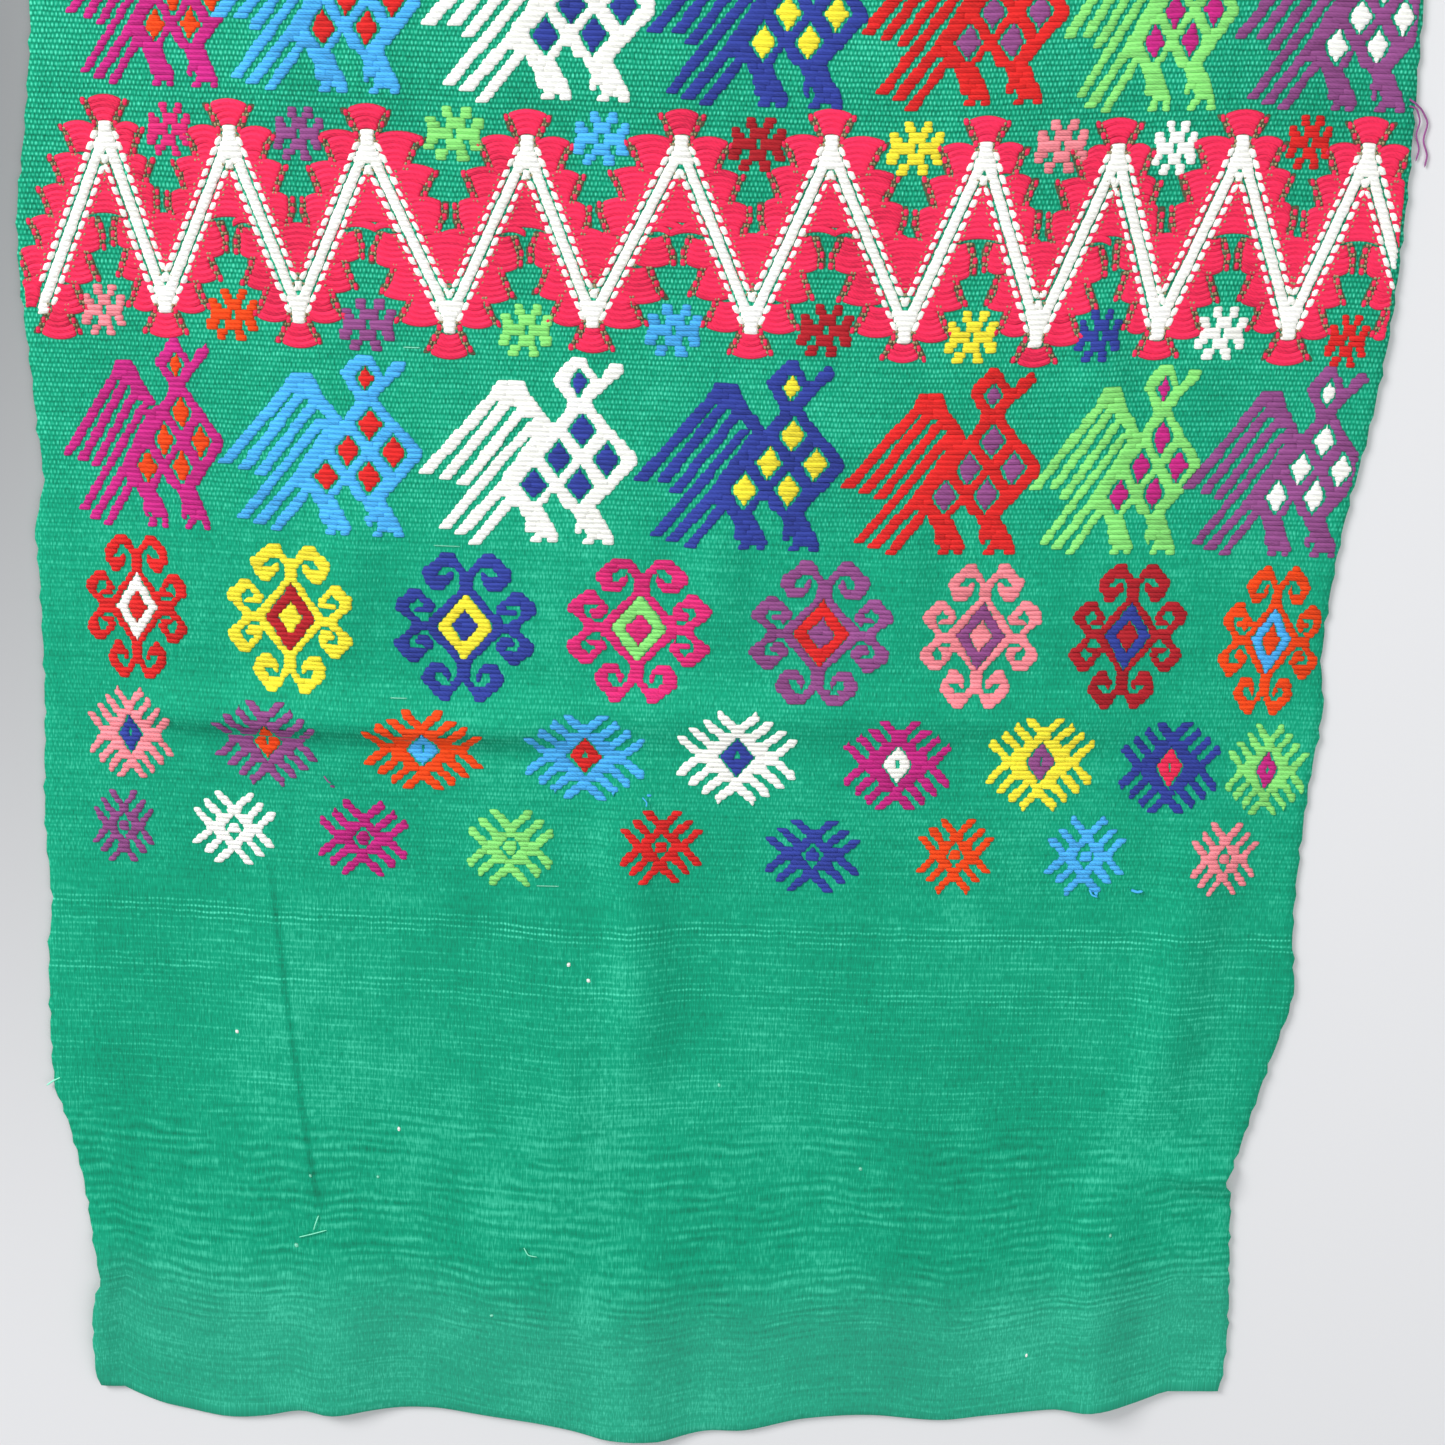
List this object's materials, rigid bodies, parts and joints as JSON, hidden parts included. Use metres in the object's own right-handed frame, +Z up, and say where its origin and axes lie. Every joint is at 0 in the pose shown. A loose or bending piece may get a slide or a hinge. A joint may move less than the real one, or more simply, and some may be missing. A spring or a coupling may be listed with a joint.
{
  "type": "embroidered table runner",
  "caption": "Hand-woven green cotton table runner laid flat, with brocaded birds, zigzag, hooked diamonds and stars in bright yarns on its decorated end.",
  "frame": {"origin": "on the surface it lies on, under the middle of the cloth's box", "axes": "+X across the runner, +Y along it from the decorated end to the plain end, +Z up from the surface"},
  "size_m": [0.4026, 1.1, 0.0071],
  "materials": {
    "cloth": "matt warp-faced cotton in emerald green, with raised brocade floats of coloured cotton yarn"
  },
  "bodies": {
    "root": {"runner_cloth": "cloth"}
  },
  "joints": []
}
